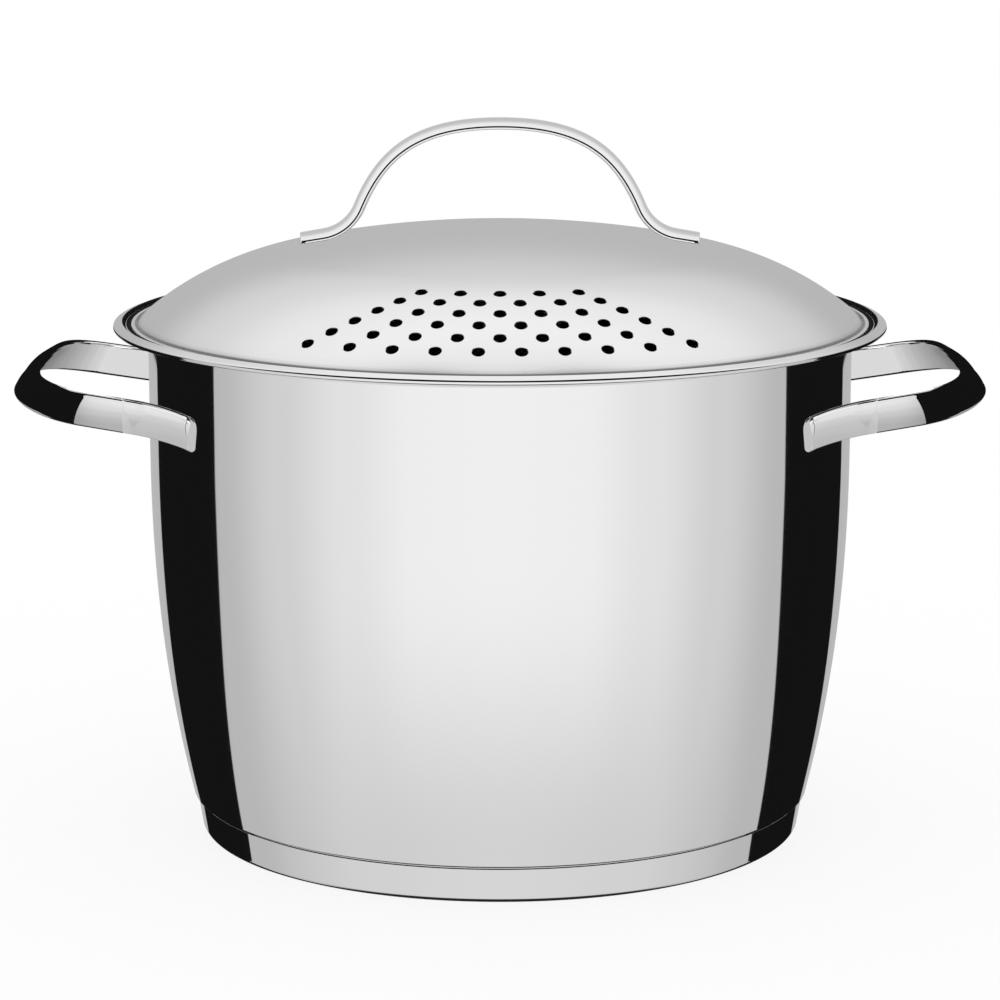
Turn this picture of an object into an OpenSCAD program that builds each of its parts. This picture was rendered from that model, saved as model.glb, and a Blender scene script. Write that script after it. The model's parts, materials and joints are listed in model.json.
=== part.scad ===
// Pasta pot with a lift-out strainer insert and a pierced, domed lid.
// Steel sheet throughout, strap handles welded on, a capsule base.
// The pot stands on z = 0 with its axis on Z; the drain holes face -Y.

/* [Pot] */
// Inside diameter of the pot at its mouth
pot_d = 240; // [200:5:300]
// Height of the seat, the top face of the flange round the mouth
seat_z = 176.2; // [150:1:240]
// Thickness of the pot's sheet
pot_sheet = 0.6; // [0.5:0.1:1.2]
// How far the wall draws in between its full width and the base
wall_draw = 13.5; // [4:0.5:20]
// Height below the seat where the wall starts to draw in
draw_start = 39.7; // [20:0.5:60]
// Power of the curve along which the wall draws in
draw_power = 2.25; // [1.6:0.05:3]
// Width of the flat flange between the wall and the rolled lip
flange_w = 8.5; // [6:0.5:14]
// Radius of the bend between the wall and the flange
mouth_bend = 3; // [2:0.5:4]
// Width of the rolled lip
lip_w = 3.4; // [2.4:0.2:5]
// Height of the rolled lip above the seat
lip_h = 2.7; // [2:0.1:4]

/* [Base] */
// Height of the capsule that covers the base
cap_h = 12.2; // [10:0.2:16]
// Thickness of the capsule's sheet
cap_sheet = 0.6; // [0.5:0.1:1]
// How far the capsule's rim is set in from the wall above it
cap_step = 1.1; // [0.6:0.1:2]
// How far the capsule narrows from its rim to its foot
cap_taper = 1.7; // [0.4:0.1:3]
// Radius of the capsule's lower corner
cap_corner = 2.2; // [1.6:0.1:3]
// Height of the groove between the capsule and the wall
groove_h = 0.7; // [0.4:0.1:1.2]
// Thickness of the heat-spreading core
core_h = 5.5; // [4:0.1:6.5]

/* [Side handles] */
// Height of the strap's middle at the ends of its welded feet
handle_z = 148.7; // [110:0.1:150]
// Height of the bow's middle above the ends of the feet
bow_rise = 9.6; // [0:0.1:12]
// Width of the strap
handle_w = 11.6; // [8:0.2:14]
// Thickness of the strap at its fully rounded edges
handle_t = 2.8; // [1.8:0.1:3.5]
// How much the strap's outer face bulges at the middle of its width
handle_crown = 0.8; // [0.2:0.1:1.2]
// How far the bow's outermost edge stands out from the pot's wall
handle_reach = 45.4; // [38:0.2:64]
// Angle round the pot of each foot's end, from the handle's middle
foot_angle = 34.6; // [32:0.1:42]
// Angle round the pot over which each foot lies on the wall
foot_turn = 2; // [2:0.5:5]
// Angle round the pot, and distance from the wall, of the place where each leg begins
leg_angle = 23.8; // [22:0.2:27]
leg_out = 12; // [8:0.5:16]
// How far the legs lean towards each other
leg_lean = 3.6; // [0:0.2:16]
// Upward slope of the legs, in degrees
leg_rise = 8.9; // [0:0.1:14]
// Share of the way from a leg's beginning to the bow over which the leg runs straight
leg_share = 0.4; // [0.2:0.02:0.6]
// Lean of the strap's face at the middle of the bow
bow_tilt = 44.5; // [0:0.5:50]

/* [Lid] */
// Thickness of the lid's sheet
lid_sheet = 0.6; // [0.5:0.1:1]
// Distance from the pot's lip in to the foot of the dome
lid_inset = 4.5; // [3.5:0.1:10]
// Width of the lid's flat flange
lid_flange_w = 1.8; // [1.2:0.1:3]
// Radius of curvature of the dome's crown, as a share of the dome's foot radius
crown_share = 3.01; // [2.4:0.01:4.8]
// Radius of curvature of the dome's shoulder, as a share of the dome's foot radius
shoulder_share = 0.856; // [0.78:0.002:1.1]
// Radius where the crown blends into the shoulder, as a share of the dome's foot radius
blend_share = 0.61; // [0.5:0.01:0.66]

/* [Drain holes] */
// Diameter of a drain hole
drain_d = 4.1; // [3:0.1:5]
// Number of rows
drain_rows = 6; // [3:1:6]
// Number of holes in the innermost row; each later row has one more
drain_first_n = 5; // [3:1:7]
// Distance of the innermost row from the dome's foot
drain_inset = 36.4; // [34:0.2:40]
// Distance between rows along the dome
drain_row_pitch = 6.36; // [5.5:0.02:6.5]
// Sideways distance between holes in the innermost row
drain_pitch = 12.65; // [8:0.05:14]
// How much that distance grows from row to row
drain_pitch_gain = 0.19; // [0:0.01:0.4]

/* [Lid handle] */
// Height of the grip's top above the dome's top
grip_h = 37.1; // [30:0.1:50]
// Distance between the tips of the two feet
grip_span = 136; // [120:1:150]
// Width of the oval bar
grip_w = 18; // [14:0.5:24]
// Thickness of the bar at its long edges
grip_edge = 1.2; // [1:0.1:2.5]
// How much the bar's outer face bulges across its width, at the top of the arch
grip_crown = 2.1; // [1:0.1:3]
// The same bulge along the legs
leg_crown = 2.5; // [1:0.1:3.5]
// How much the bar's inner face bulges at the middle of its width
grip_belly = 0.6; // [0.4:0.1:1.6]
// Half the distance between the bends where the feet meet the legs
knee_x = 50.8; // [44:0.1:56]
// Radius of the bend between foot and leg
knee_bend = 17; // [10:0.5:20]
// Angle of the legs to the horizontal
grip_slope = 66.5; // [60:0.1:70]
// Straight length of a leg between the bend and the arch
grip_leg = 0.6; // [0.4:0.1:3]
// Pull of the arch's curve along the leg, and along the level of its top
arch_side = 18.9; // [16:0.1:26]
arch_top = 27.9; // [16:0.1:32]

/* [Insert] */
// Thickness of the insert's sheet
insert_sheet = 0.5; // [0.4:0.1:1]
// Gap between the insert and the pot's wall, all the way down
insert_gap = 2.2; // [1.8:0.1:5]
// Depth of the insert below the seat
insert_depth = 148.2; // [100:1:150]
// Height of the plain collar below the seat
collar_h = 26.2; // [20:0.5:40]
// Radius of the floor pan's corner
pan_corner = 9; // [6:0.5:12]
// Height of the floor pan's upturned edge
pan_h = 10; // [9.5:0.5:14]
// Width of the groove left round the insert's flange
insert_edge_gap = 0.6; // [0.4:0.1:1.2]
// Diameter of a hole in the pierced wall and floor
perf_d = 6; // [3:0.5:7]
// Number of rows of holes in the wall
perf_rows = 6; // [3:1:7]
// Number of holes in a row
perf_n = 36; // [24:1:48]
// Number of rings of holes in the floor
floor_rings = 6; // [2:1:6]
// Distance between the rings of holes in the floor
floor_pitch = 14; // [10:0.5:14.5]

/* [Insert grips] */
// Diameter of the wire
wire_d = 4; // [3:0.5:5]
// Distance between a grip's two legs
wire_span = 60; // [44:2:70]
// Height of a grip's top above the seat
wire_top = 7.5; // [2:0.5:9]
// Length of a leg's foot, which lies against the wall
wire_foot = 14; // [8:1:16]
// Lean of the grip towards the axis
wire_lean = 22; // [18:1:28]
// Radius of a grip's upper corners
wire_bend = 9; // [6:0.5:12]
// Radius of the bend between a leg and its foot
wire_knee = 8; // [5:0.5:12]

/* [Hidden] */
$fn = 96;

// Clearance of a welded strap or wire to the curved sheet that it is welded to
weld_gap = 0.2;
// Steps along each half of the drawn-in wall, each bend and each dome arc
wall_steps = 20;
bend_steps = 6;
dome_steps = 10;

// Pot
wall_r = pot_d / 2 + pot_sheet;
lip_in_r = wall_r + flange_w;
lip_r = lip_in_r + lip_w;
lip_round = lip_w / 2;
flange_under = seat_z - pot_sheet;
draw_z = seat_z - draw_start;

// Base
floor_under = cap_sheet + core_h;
floor_z = floor_under + pot_sheet;
shoulder_z = cap_h + groove_h;
cap_rim_r = wall_out(shoulder_z) - cap_step;
cap_foot_r = cap_rim_r - cap_taper;
nest_gap = 0.05;
nest_r = cap_rim_r - cap_sheet - nest_gap;
nest_corner = cap_h - floor_under;
shoulder_round = 0.6;

// Lid
dome_r = lip_in_r - lid_inset;
crown_r = crown_share * dome_r;
shoulder_r = shoulder_share * dome_r;
blend_r = blend_share * dome_r;
drain_first_r = dome_r - drain_inset;
seat_sheet_z = seat_z + insert_sheet;
lid_top_z = seat_sheet_z + lid_sheet;
blend_a = asin(blend_r / crown_r);
shoulder_cr = blend_r - shoulder_r * sin(blend_a);
apex_z = lid_top_z + dome_drop(dome_r);
lid_edge_r = dome_r + lid_flange_w;
edge_round = lid_sheet / 2;

// Insert
collar_z = seat_z - collar_h;
collar_r = insert_r(collar_z);
collar_bend = mouth_bend + pot_sheet;
insert_z = seat_z - insert_depth;
pan_z = insert_z + pan_h;
pan_r = insert_r(pan_z);
insert_edge_r = lip_in_r - insert_edge_gap;
insert_bead = 0.5;
wire_sides = 10;
perf_band = (collar_z - pan_z) / perf_rows;

// Radius of the pot's outer wall at height z
function wall_out(z) =
    wall_r - wall_draw * pow(max(0, draw_z - z) / (draw_z - cap_h), draw_power);

// Outer radius of the insert at height z: it follows the pot's inner wall
function insert_r(z) = wall_out(z) - pot_sheet - insert_gap;

// Drop of the dome's outer face below its apex at radius r, for the two arcs grown by k
function dome_drop(r, k = 0) =
    r <= (crown_r + k) * sin(blend_a)
        ? crown_r - sqrt(pow(crown_r + k, 2) - r * r)
        : crown_r - (crown_r - shoulder_r) * cos(blend_a)
            - sqrt(pow(shoulder_r + k, 2) - pow(r - shoulder_cr, 2));
// Height of the dome's outer face at radius r
function dome_z(r) = apex_z - dome_drop(r);
// Slope of the dome's shoulder at radius r, in degrees
function dome_slope(r) = asin((r - shoulder_cr) / shoulder_r);

// Points of an arc in the plane, from angle a to angle b
function arc(c, r, a, b, n = bend_steps) =
    [for (i = [0 : n]) let (t = a + (b - a) * i / n) c + r * [cos(t), sin(t)]];
// Point of a cubic curve at t
function cubic(a, b, c, d, t) =
    pow(1 - t, 3) * a + 3 * pow(1 - t, 2) * t * b + 3 * (1 - t) * t * t * c + pow(t, 3) * d;
// Points of a cubic curve, without its last one
function cubic_points(a, b, c, d, n) = [for (i = [0 : n - 1]) cubic(a, b, c, d, i / n)];
// Points that round the corner p of a line from a to b with radius r
function rounded(a, p, b, r, n = bend_steps) =
    let (
        u = (a - p) / norm(a - p),
        v = (b - p) / norm(b - p),
        half = acos(u * v) / 2,
        middle = p + (u + v) / norm(u + v) * r / sin(half),
        start = p + u * r / tan(half),
        turn = 180 - 2 * half,
        side = u[0] * v[1] - u[1] * v[0] > 0 ? -1 : 1,
        first = atan2(start[1] - middle[1], start[0] - middle[0])
    )
    arc(middle, r, first, first + side * turn, n);
function unit(v) = v / norm(v);
function reverse(list) = [for (i = [len(list) - 1 : -1 : 0]) list[i]];
function lift(list, y = 0) = [for (p = list) [p[0], y, p[1]]];
// Length along a line of points up to point i
function run(path, i) = i == 0 ? 0 : run(path, i - 1) + norm(path[i] - path[i - 1]);
// How much a corner of radius r takes off the width at distance d from the end
function corner_cut(d, r) = d >= r ? 0 : r - sqrt(r * r - pow(r - d, 2));
// Smooth growth from 0 to 1 as t grows from 0 to 1
function ease(t) = let (u = max(0, min(1, t))) u * u * (3 - 2 * u);

// One closed solid through a row of rings that have as many points each
module loft(rings) {
    n = len(rings[0]);
    m = len(rings);
    points = [for (ring = rings) each ring];
    sides = [
        for (i = [0 : m - 2], j = [0 : n - 1])
            let (a = i * n + j, b = i * n + (j + 1) % n)
                each [[a, b + n, b], [a, a + n, b + n]]
    ];
    first = [for (j = [1 : n - 2]) [0, j, j + 1]];
    last = [for (j = [1 : n - 2]) [(m - 1) * n, (m - 1) * n + j + 1, (m - 1) * n + j]];
    polyhedron(points = points, faces = concat(sides, first, last), convexity = 6);
}

// Pot

module pot_shell() {
    wall_top = seat_z - pot_sheet - mouth_bend;
    lip_mid = [lip_in_r + lip_round, seat_z + lip_h - lip_round];
    lip_end = -asin((lip_mid[1] - seat_z) / lip_round);
    corner_mid = [nest_r - nest_corner, cap_h];
    heights = [for (i = [0 : wall_steps]) shoulder_z + (draw_z - shoulder_z) * i / wall_steps];
    outside = concat(
        arc(corner_mid, nest_corner, -90, 0),
        [[nest_r, shoulder_z]],
        [[wall_out(shoulder_z) - shoulder_round, shoulder_z]],
        [for (z = heights) if (z >= shoulder_z + shoulder_round) [wall_out(z), z]],
        arc([wall_r + mouth_bend, wall_top], mouth_bend, 180, 90),
        [[lip_mid[0], flange_under], [lip_mid[0], seat_z]],
        arc(lip_mid, lip_round, lip_end, 180 - lip_end, 16)
    );
    inside = concat(
        arc([wall_r + mouth_bend, wall_top], mouth_bend + pot_sheet, 90, 180),
        reverse([for (z = heights) if (z > shoulder_z) [wall_out(z) - pot_sheet, z]]),
        [[nest_r - pot_sheet, shoulder_z]],
        arc(corner_mid, nest_corner - pot_sheet, 0, -90)
    );
    color("lightgray") rotate_extrude() polygon(concat(outside, inside));
}

// The flat floor of the same drawn sheet, kept apart so that the pot's hollow stays open
module pot_floor() {
    color("lightgray") translate([0, 0, floor_under])
        cylinder(h = pot_sheet, r = nest_r - nest_corner);
}

module base_core() {
    color("gainsboro") translate([0, 0, cap_sheet])
        cylinder(h = core_h, r = cap_foot_r - cap_corner);
}

module base_cap() {
    inner_corner = cap_corner - cap_sheet;
    corner_mid = [cap_foot_r - cap_corner, cap_corner];
    color("silver") rotate_extrude() polygon(concat(
        [[0, 0]],
        arc(corner_mid, cap_corner, -90, 0),
        [[cap_rim_r, cap_h], [cap_rim_r - cap_sheet, cap_h]],
        arc(corner_mid, inner_corner, 0, -90),
        [[0, cap_sheet]]
    ));
}

// Side handles: a strap on edge whose two feet lie on the wall and curve out into a bow

strap_round = handle_t / 2;
strap_r = wall_r + weld_gap + strap_round;
foot_x = strap_r * cos(foot_angle);
bow_x = wall_r + handle_reach - (handle_w / 2 - strap_round) * sin(bow_tilt) - strap_round;
leg_start = (wall_r + leg_out) * [cos(leg_angle), sin(leg_angle)];
leg_dir = [cos(leg_lean), -sin(leg_lean), tan(leg_rise) * cos(leg_lean)];
// Lengths of the control arms of the curve from foot to leg
foot_arm = 4;
leg_arm = 8;
// Length of the bow's control arm at the leg, the share of the bow's half width that the
// other arm takes, and how far that arm humps above the bow's middle
bow_arm = 18;
bow_share = 0.69;
bow_hump = 2.4;
// Shares of the strap's half length between which its lean grows
tilt_from = 0.384;
tilt_to = 0.78;
// Radii of the foot's upper and lower corners
foot_corner_top = 3.2;
foot_corner_low = 0.7;

// A point of the foot or leg at its height, given from above
function on_leg(p) = [p[0], p[1], handle_z + tan(leg_rise) * (p[0] - foot_x)];
// Half of the strap's path, from a foot's end to the middle of the bow
function half_strap() =
    let (
        lift_a = foot_angle - foot_turn,
        foot = [for (i = [0 : 3]) let (a = foot_angle - foot_turn * i / 3)
            strap_r * [cos(a), sin(a)]],
        leg_flat = [leg_dir[0], leg_dir[1]],
        bend = cubic_points(foot[3], foot[3] + foot_arm * [sin(lift_a), -cos(lift_a)],
            leg_start - leg_arm * leg_flat, leg_start, 8),
        leg_end = on_leg(leg_start + (bow_x - leg_start[0]) * leg_share * leg_flat),
        middle = [bow_x, 0, handle_z + bow_rise],
        bow = cubic_points(leg_end, leg_end + bow_arm * leg_dir,
            middle + [0, bow_share * leg_end[1], bow_hump], middle, 14)
    )
    concat([for (i = [0 : 2]) on_leg(foot[i])], [for (p = bend) on_leg(p)],
        [on_leg(leg_start)], bow, [middle]);
// Outline of the strap's section between low and top, as points outwards and across
function strap_section(low, top) =
    let (
        middle = (low + top) / 2,
        half = (top - low) / 2 - strap_round
    )
    concat(
        [for (k = [-2 : 2]) let (q = k / 2)
            [strap_round + handle_crown * (1 - q * q), middle + half * q]],
        arc([0, middle + half], strap_round, 30, 180, 5),
        arc([0, middle - half], strap_round, 180, 330, 5)
    );

module side_handle() {
    half = half_strap();
    last = len(half) - 1;
    path = concat(half, [for (i = [last - 1 : -1 : 0]) [half[i][0], -half[i][1], half[i][2]]]);
    total = run(path, 2 * last);
    rings = [for (i = [0 : 2 * last])
        let (
            along = unit(path[min(i + 1, 2 * last)] - path[max(i - 1, 0)]),
            up = unit([0, 0, 1] - along * along[2]),
            out = cross(up, along),
            d = min(run(path, i), total - run(path, i)),
            tilt = bow_tilt * ease((2 * d / total - tilt_from) / (tilt_to - tilt_from)),
            w = up * cos(tilt) - out * sin(tilt),
            n = out * cos(tilt) + up * sin(tilt),
            top = handle_w / 2 - corner_cut(d, foot_corner_top),
            low = corner_cut(d, foot_corner_low) - handle_w / 2
        )
        [for (q = strap_section(low, top)) path[i] + n * q[0] + w * q[1]]];
    loft(rings);
}

module right_handle() {
    color("gainsboro") side_handle();
}

module left_handle() {
    color("gainsboro") mirror([1, 0, 0]) side_handle();
}

// Insert

module insert_collar() {
    fillet_z = seat_z - collar_bend;
    bead_mid = [insert_edge_r - insert_bead, seat_z + insert_bead];
    outside = concat(
        [[collar_r, collar_z]],
        arc([collar_r + collar_bend, fillet_z], collar_bend, 180, 90),
        arc(bead_mid, insert_bead, -90, 180, 12),
        [[insert_edge_r - 2 * insert_bead, seat_sheet_z]]
    );
    inside = concat(
        arc([collar_r + collar_bend, fillet_z], collar_bend + insert_sheet, 90, 180),
        [[collar_r - insert_sheet, collar_z]]
    );
    color("silver") rotate_extrude() polygon(concat(outside, inside));
}

module insert_wall() {
    // One conical band for each row of holes
    heights = [for (i = [0 : perf_rows]) pan_z + i * perf_band];
    color("silver") difference() {
        rotate_extrude() polygon(concat(
            [for (z = heights) [insert_r(z), z]],
            reverse([for (z = heights) [insert_r(z) - insert_sheet, z]])
        ));
        for (row = [0 : perf_rows - 1], i = [0 : perf_n - 1]) {
            z = pan_z + (row + 0.5) * perf_band;
            rotate([0, 0, (i + row % 2 / 2) * 360 / perf_n])
                translate([insert_r(z) - 4 * insert_sheet, 0, z]) rotate([0, 90, 0])
                    cylinder(h = 7 * insert_sheet, d = perf_d);
        }
    }
}

module insert_floor() {
    corner_mid = [pan_r - pan_corner, insert_z + pan_corner];
    color("silver") difference() {
        rotate_extrude() polygon(concat(
            [[0, insert_z]],
            arc(corner_mid, pan_corner, -90, 0),
            [[pan_r, pan_z], [pan_r - insert_sheet, pan_z]],
            arc(corner_mid, pan_corner - insert_sheet, 0, -90),
            [[0, insert_z + insert_sheet]]
        ));
        for (ring = [0 : floor_rings], i = [0 : max(6 * ring, 1) - 1])
            rotate([0, 0, i * 60 / max(ring, 1)])
                translate([ring * floor_pitch, 0, insert_z - 1])
                    cylinder(h = insert_sheet + 2, d = perf_d);
    }
}

// A wire loop welded inside the collar by two feet, leaning in over the basket
module wire_grip() {
    r = wire_d / 2;
    leg_y = wire_span / 2;
    in_r = collar_r - insert_sheet - weld_gap - r;
    // Upward and across directions of the leaning loop's own plane
    up = [-sin(wire_lean), 0, cos(wire_lean)];
    face = [cos(wire_lean), 0, sin(wire_lean)];
    knee = [sqrt(in_r * in_r - leg_y * leg_y), leg_y, collar_z + wire_foot];
    leg = (seat_z + wire_top - r - knee[2]) / cos(wire_lean);
    // The knee as a bend in the plane of x and z, and the upper corner in the loop's plane
    knee_arc = rounded([knee[0], collar_z], [knee[0], knee[2]],
        [knee[0] + up[0], knee[2] + up[2]], wire_knee, 3);
    corner_arc = rounded([leg_y, 0], [leg_y, leg], [0, leg], wire_bend, 7);
    half = concat(
        [[knee[0], leg_y, collar_z]],
        lift(knee_arc, leg_y),
        [for (p = corner_arc) [knee[0], p[0], knee[2]] + up * p[1]]
    );
    last = len(half) - 1;
    path = concat(half, [for (i = [last : -1 : 0]) [half[i][0], -half[i][1], half[i][2]]]);
    end = len(path) - 1;
    loft([for (i = [0 : end])
        let (
            along = unit(path[min(i + 1, end)] - path[max(i - 1, 0)]),
            n = unit(face - along * (face * along)),
            w = cross(along, n)
        )
        [for (k = [0 : wire_sides - 1]) let (a = 360 * k / wire_sides)
            path[i] + r * (n * cos(a) + w * sin(a))]]);
}

module insert_right_grip() {
    color("gainsboro") wire_grip();
}

module insert_left_grip() {
    color("gainsboro") mirror([1, 0, 0]) wire_grip();
}

// Lid

module lid_shell() {
    under_z = lid_top_z - lid_sheet;
    out_blend = blend_r;
    in_blend = (crown_r - lid_sheet) * sin(blend_a);
    in_edge = shoulder_cr + sqrt(pow(shoulder_r - lid_sheet, 2)
        - pow(shoulder_r * cos(blend_a) - crown_r * cos(blend_a) + crown_r
            - (apex_z - under_z), 2));
    outside = concat(
        [for (i = [0 : dome_steps - 1]) let (r = out_blend * i / dome_steps)
            [r, apex_z - dome_drop(r)]],
        [for (i = [0 : dome_steps]) let (r = out_blend + (dome_r - out_blend) * i / dome_steps)
            [r, apex_z - dome_drop(r)]]
    );
    inside = concat(
        [for (i = [0 : dome_steps - 1]) let (r = in_blend * i / dome_steps)
            [r, apex_z - dome_drop(r, -lid_sheet)]],
        [for (i = [0 : dome_steps]) let (r = in_blend + (in_edge - in_blend) * i / dome_steps)
            [r, apex_z - dome_drop(r, -lid_sheet)]]
    );
    edge = arc([lid_edge_r - edge_round, lid_top_z - edge_round], edge_round, 90, -90, 4);
    color("silver") difference() {
        rotate_extrude() polygon(concat(outside, edge, reverse(inside)));
        drain_holes();
    }
}

// Staggered rows of holes along arcs round the lid's axis, square to the dome and evenly
// spaced as seen from the front
module drain_holes() {
    first_a = dome_slope(drain_first_r);
    step_a = drain_row_pitch / shoulder_r * 180 / PI;
    for (row = [0 : drain_rows - 1]) {
        slope = first_a + row * step_a;
        r = shoulder_cr + shoulder_r * sin(slope);
        n = drain_first_n + row;
        pitch = drain_pitch + row * drain_pitch_gain;
        for (i = [0 : n - 1])
            rotate([0, 0, asin((i - (n - 1) / 2) * pitch / r) - 90])
                translate([r, 0, dome_z(r)]) rotate([0, slope, 0])
                    cylinder(h = 6 * lid_sheet, d = drain_d, center = true);
    }
}

// Lid handle: an oval bar bent into an arch, with both feet lying on the dome

grip_seat = weld_gap + grip_belly + grip_edge / 2;
grip_tip = [grip_span / 2, dome_z(grip_span / 2) + grip_seat];
grip_knee = [knee_x, dome_z(knee_x) + grip_seat];
grip_line_z = apex_z + grip_h - grip_crown - grip_edge / 2;
leg_up = [-cos(grip_slope), sin(grip_slope)];
// Radius of the feet's corners seen from above, and the crown that is left at their tips
grip_corner = 2.5;
tip_crown = 2;
// Turn between foot and leg, and the bend's radius as far as the foot has room for it
knee_turn = acos(unit(grip_knee - grip_tip) * leg_up);
knee_r = min(knee_bend, (norm(grip_knee - grip_tip) - grip_corner) / tan(knee_turn / 2) - 1);
arch_start = grip_knee + leg_up * (knee_r * tan(knee_turn / 2) + grip_leg);
// Lengths over which the crown changes, from the tips up and from the legs to the top
tip_run = 30;
top_run = 60;

module lid_handle() {
    to_knee = unit(grip_knee - grip_tip);
    half = concat(
        [for (d = [0, 0.3, 0.9, 1.6, grip_corner]) grip_tip + to_knee * d],
        rounded(grip_tip, grip_knee, arch_start, knee_r, 7),
        cubic_points(arch_start, arch_start + leg_up * arch_side,
            [arch_top, grip_line_z], [0, grip_line_z], 12)
    );
    last = len(half) - 1;
    path = concat(half, [[0, grip_line_z]],
        [for (i = [last : -1 : 0]) [-half[i][0], half[i][1]]]);
    end = len(path) - 1;
    total = run(path, end);
    rings = [for (i = [0 : end])
        let (
            along = unit(path[min(i + 1, end)] - path[max(i - 1, 0)]),
            out = [along[1], -along[0]],
            d = min(run(path, i), total - run(path, i)),
            half_w = grip_w / 2 - corner_cut(d, grip_corner),
            crown = tip_crown + (leg_crown - tip_crown) * ease(d / tip_run)
                + (grip_crown - leg_crown) * ease((d - total / 2) / top_run + 1),
            top = [for (k = [0 : 6]) let (y = 1 - k / 3)
                [y * half_w, grip_edge / 2 + crown * (1 - y * y)]],
            low = [for (k = [0 : 4]) let (y = k / 2 - 1)
                [y * half_w, -grip_edge / 2 - grip_belly * (1 - y * y)]]
        )
        [for (q = concat(top, low))
            [path[i][0] + out[0] * q[1], q[0], path[i][1] + out[1] * q[1]]]];
    color("gainsboro") loft(rings);
}

pot_shell();
pot_floor();
base_core();
base_cap();
left_handle();
right_handle();
insert_collar();
insert_wall();
insert_floor();
insert_left_grip();
insert_right_grip();
lid_shell();
lid_handle();
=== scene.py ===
import bpy
import bmesh
import json
import math
import numpy as np
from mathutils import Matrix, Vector


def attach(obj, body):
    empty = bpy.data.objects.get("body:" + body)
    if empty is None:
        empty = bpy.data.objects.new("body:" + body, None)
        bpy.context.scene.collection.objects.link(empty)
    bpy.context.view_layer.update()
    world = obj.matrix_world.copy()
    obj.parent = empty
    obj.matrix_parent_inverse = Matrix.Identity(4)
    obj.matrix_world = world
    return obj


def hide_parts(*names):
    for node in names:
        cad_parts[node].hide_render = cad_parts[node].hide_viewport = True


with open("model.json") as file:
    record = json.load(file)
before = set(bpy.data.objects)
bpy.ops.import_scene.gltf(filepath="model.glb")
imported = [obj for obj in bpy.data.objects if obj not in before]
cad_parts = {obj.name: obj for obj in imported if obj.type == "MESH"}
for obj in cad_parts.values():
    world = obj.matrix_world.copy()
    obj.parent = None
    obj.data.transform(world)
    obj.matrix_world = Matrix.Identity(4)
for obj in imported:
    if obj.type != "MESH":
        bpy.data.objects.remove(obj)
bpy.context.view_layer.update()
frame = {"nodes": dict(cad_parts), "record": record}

# The visual model of a pasta pot with its strainer insert and lid, built around the CAD frame

# Camera at the photograph's viewing angle
CAMERA_AT = (0.0, -1.2879, 0.3666)
CAMERA_PITCH = 0.1940
CAMERA_LENS = 136.06
CAMERA_SENSOR = 36.0

# Light of the darkest panels
PANEL_BLACK = 0.007

# Share of the floor's look that is plain white to the camera; its shadow keeps the rest
FLOOR_WHITE = 0.82

# Pot; from here to the insert, sizes are in millimetres and degrees
WELD_GAP = 0.2
POT_SHEET = 0.6
SEAT_Z = 176.2
WALL_R = 120.6
DRAW = 13.5
DRAW_Z = 136.5
DRAW_POWER = 2.25
CAP_H = 12.2
GROOVE_H = 0.7
CAP_STEP = 1.1
CAP_TAPER = 1.7
CAP_CORNER = 2.2
CORE_H = 5.5
CAP_FIT = 0.05
CAP_EDGE_R = 0.35
SHOULDER_EDGE_R = 0.6
WALL_RINGS = (150.0, 165.0)
MOUTH_BEND = 3.0

# Lip, whose flat band faces LIP_BAND degrees up from straight outwards
LIP_IN_R = 129.1
LIP_R = 132.45
LIP_TOP = 178.9
LIP_BAND = 77.0
LIP_OUT_ROUND = 1.1
LIP_OUT_DROP = 2.57
LIP_LOW_ROUND = 0.55
LIP_IN_ROUND = 0.4
LIP_IN_SET = 0.45
LIP_IN_DROP = 1.1
LIP_HEM = 1.3

# Lid
LID_SHEET = 0.6
LID_TOP_Z = 177.3
LID_FLANGE = 1.8
LID_FILLET = 0.35
DOME_R = 124.6
CROWN_R = 3.01 * DOME_R
SHOULDER_R = 0.856 * DOME_R
BLEND_R = 0.61 * DOME_R
BLEND_A = math.asin(BLEND_R / CROWN_R)
SHOULDER_C = BLEND_R - SHOULDER_R * math.sin(BLEND_A)
DRAIN_D = 4.1
DRAIN_ROWS = 6
DRAIN_FIRST_N = 5
DRAIN_INSET = 36.4
DRAIN_ROW_PITCH = 6.36
DRAIN_PITCH = 12.65
DRAIN_PITCH_GAIN = 0.19
DRAIN_FLARE = 0.16

# Side handles
HANDLE_Z = 148.7
BOW_RISE = 9.6
HANDLE_W = 11.6
HANDLE_T = 2.8
HANDLE_CROWN = 0.8
HANDLE_REACH = 45.36
FOOT_ANGLE = 34.6
FOOT_TURN = 2.0
FOOT_ARM = 4.0
FOOT_CORNER_TOP = 3.2
FOOT_CORNER_LOW = 0.7
LEG_ANGLE = 23.8
LEG_ARM = 8.0
LEG_OUT = 12.0
LEG_LEAN = 3.6
LEG_RISE = 8.9
LEG_SHARE = 0.4
BOW_ARM = 18.0
BOW_SHARE = 0.69
BOW_HUMP = 2.4
BOW_TILT = 44.5
TILT_FROM = 0.384
TILT_TO = 0.78
STRAP_ROUND = HANDLE_T / 2
STRAP_R = WALL_R + WELD_GAP + STRAP_ROUND

# Lid handle
GRIP_H = 37.1
GRIP_SPAN = 136.0
GRIP_W = 18.0
GRIP_EDGE = 1.2
GRIP_EDGE_ROUND = 0.3
GRIP_CROWN = 2.1
LEG_CROWN = 2.5
TIP_CROWN = 2.0
TIP_RUN = 30.0
CROWN_RUN = 60.0
GRIP_BELLY = 0.6
GRIP_CORNER = 2.5
KNEE_X = 50.8
KNEE_BEND = 17.0
GRIP_SLOPE = 66.5
GRIP_LEG = 0.6
ARCH_SIDE = 18.9
ARCH_TOP = 27.9

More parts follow.
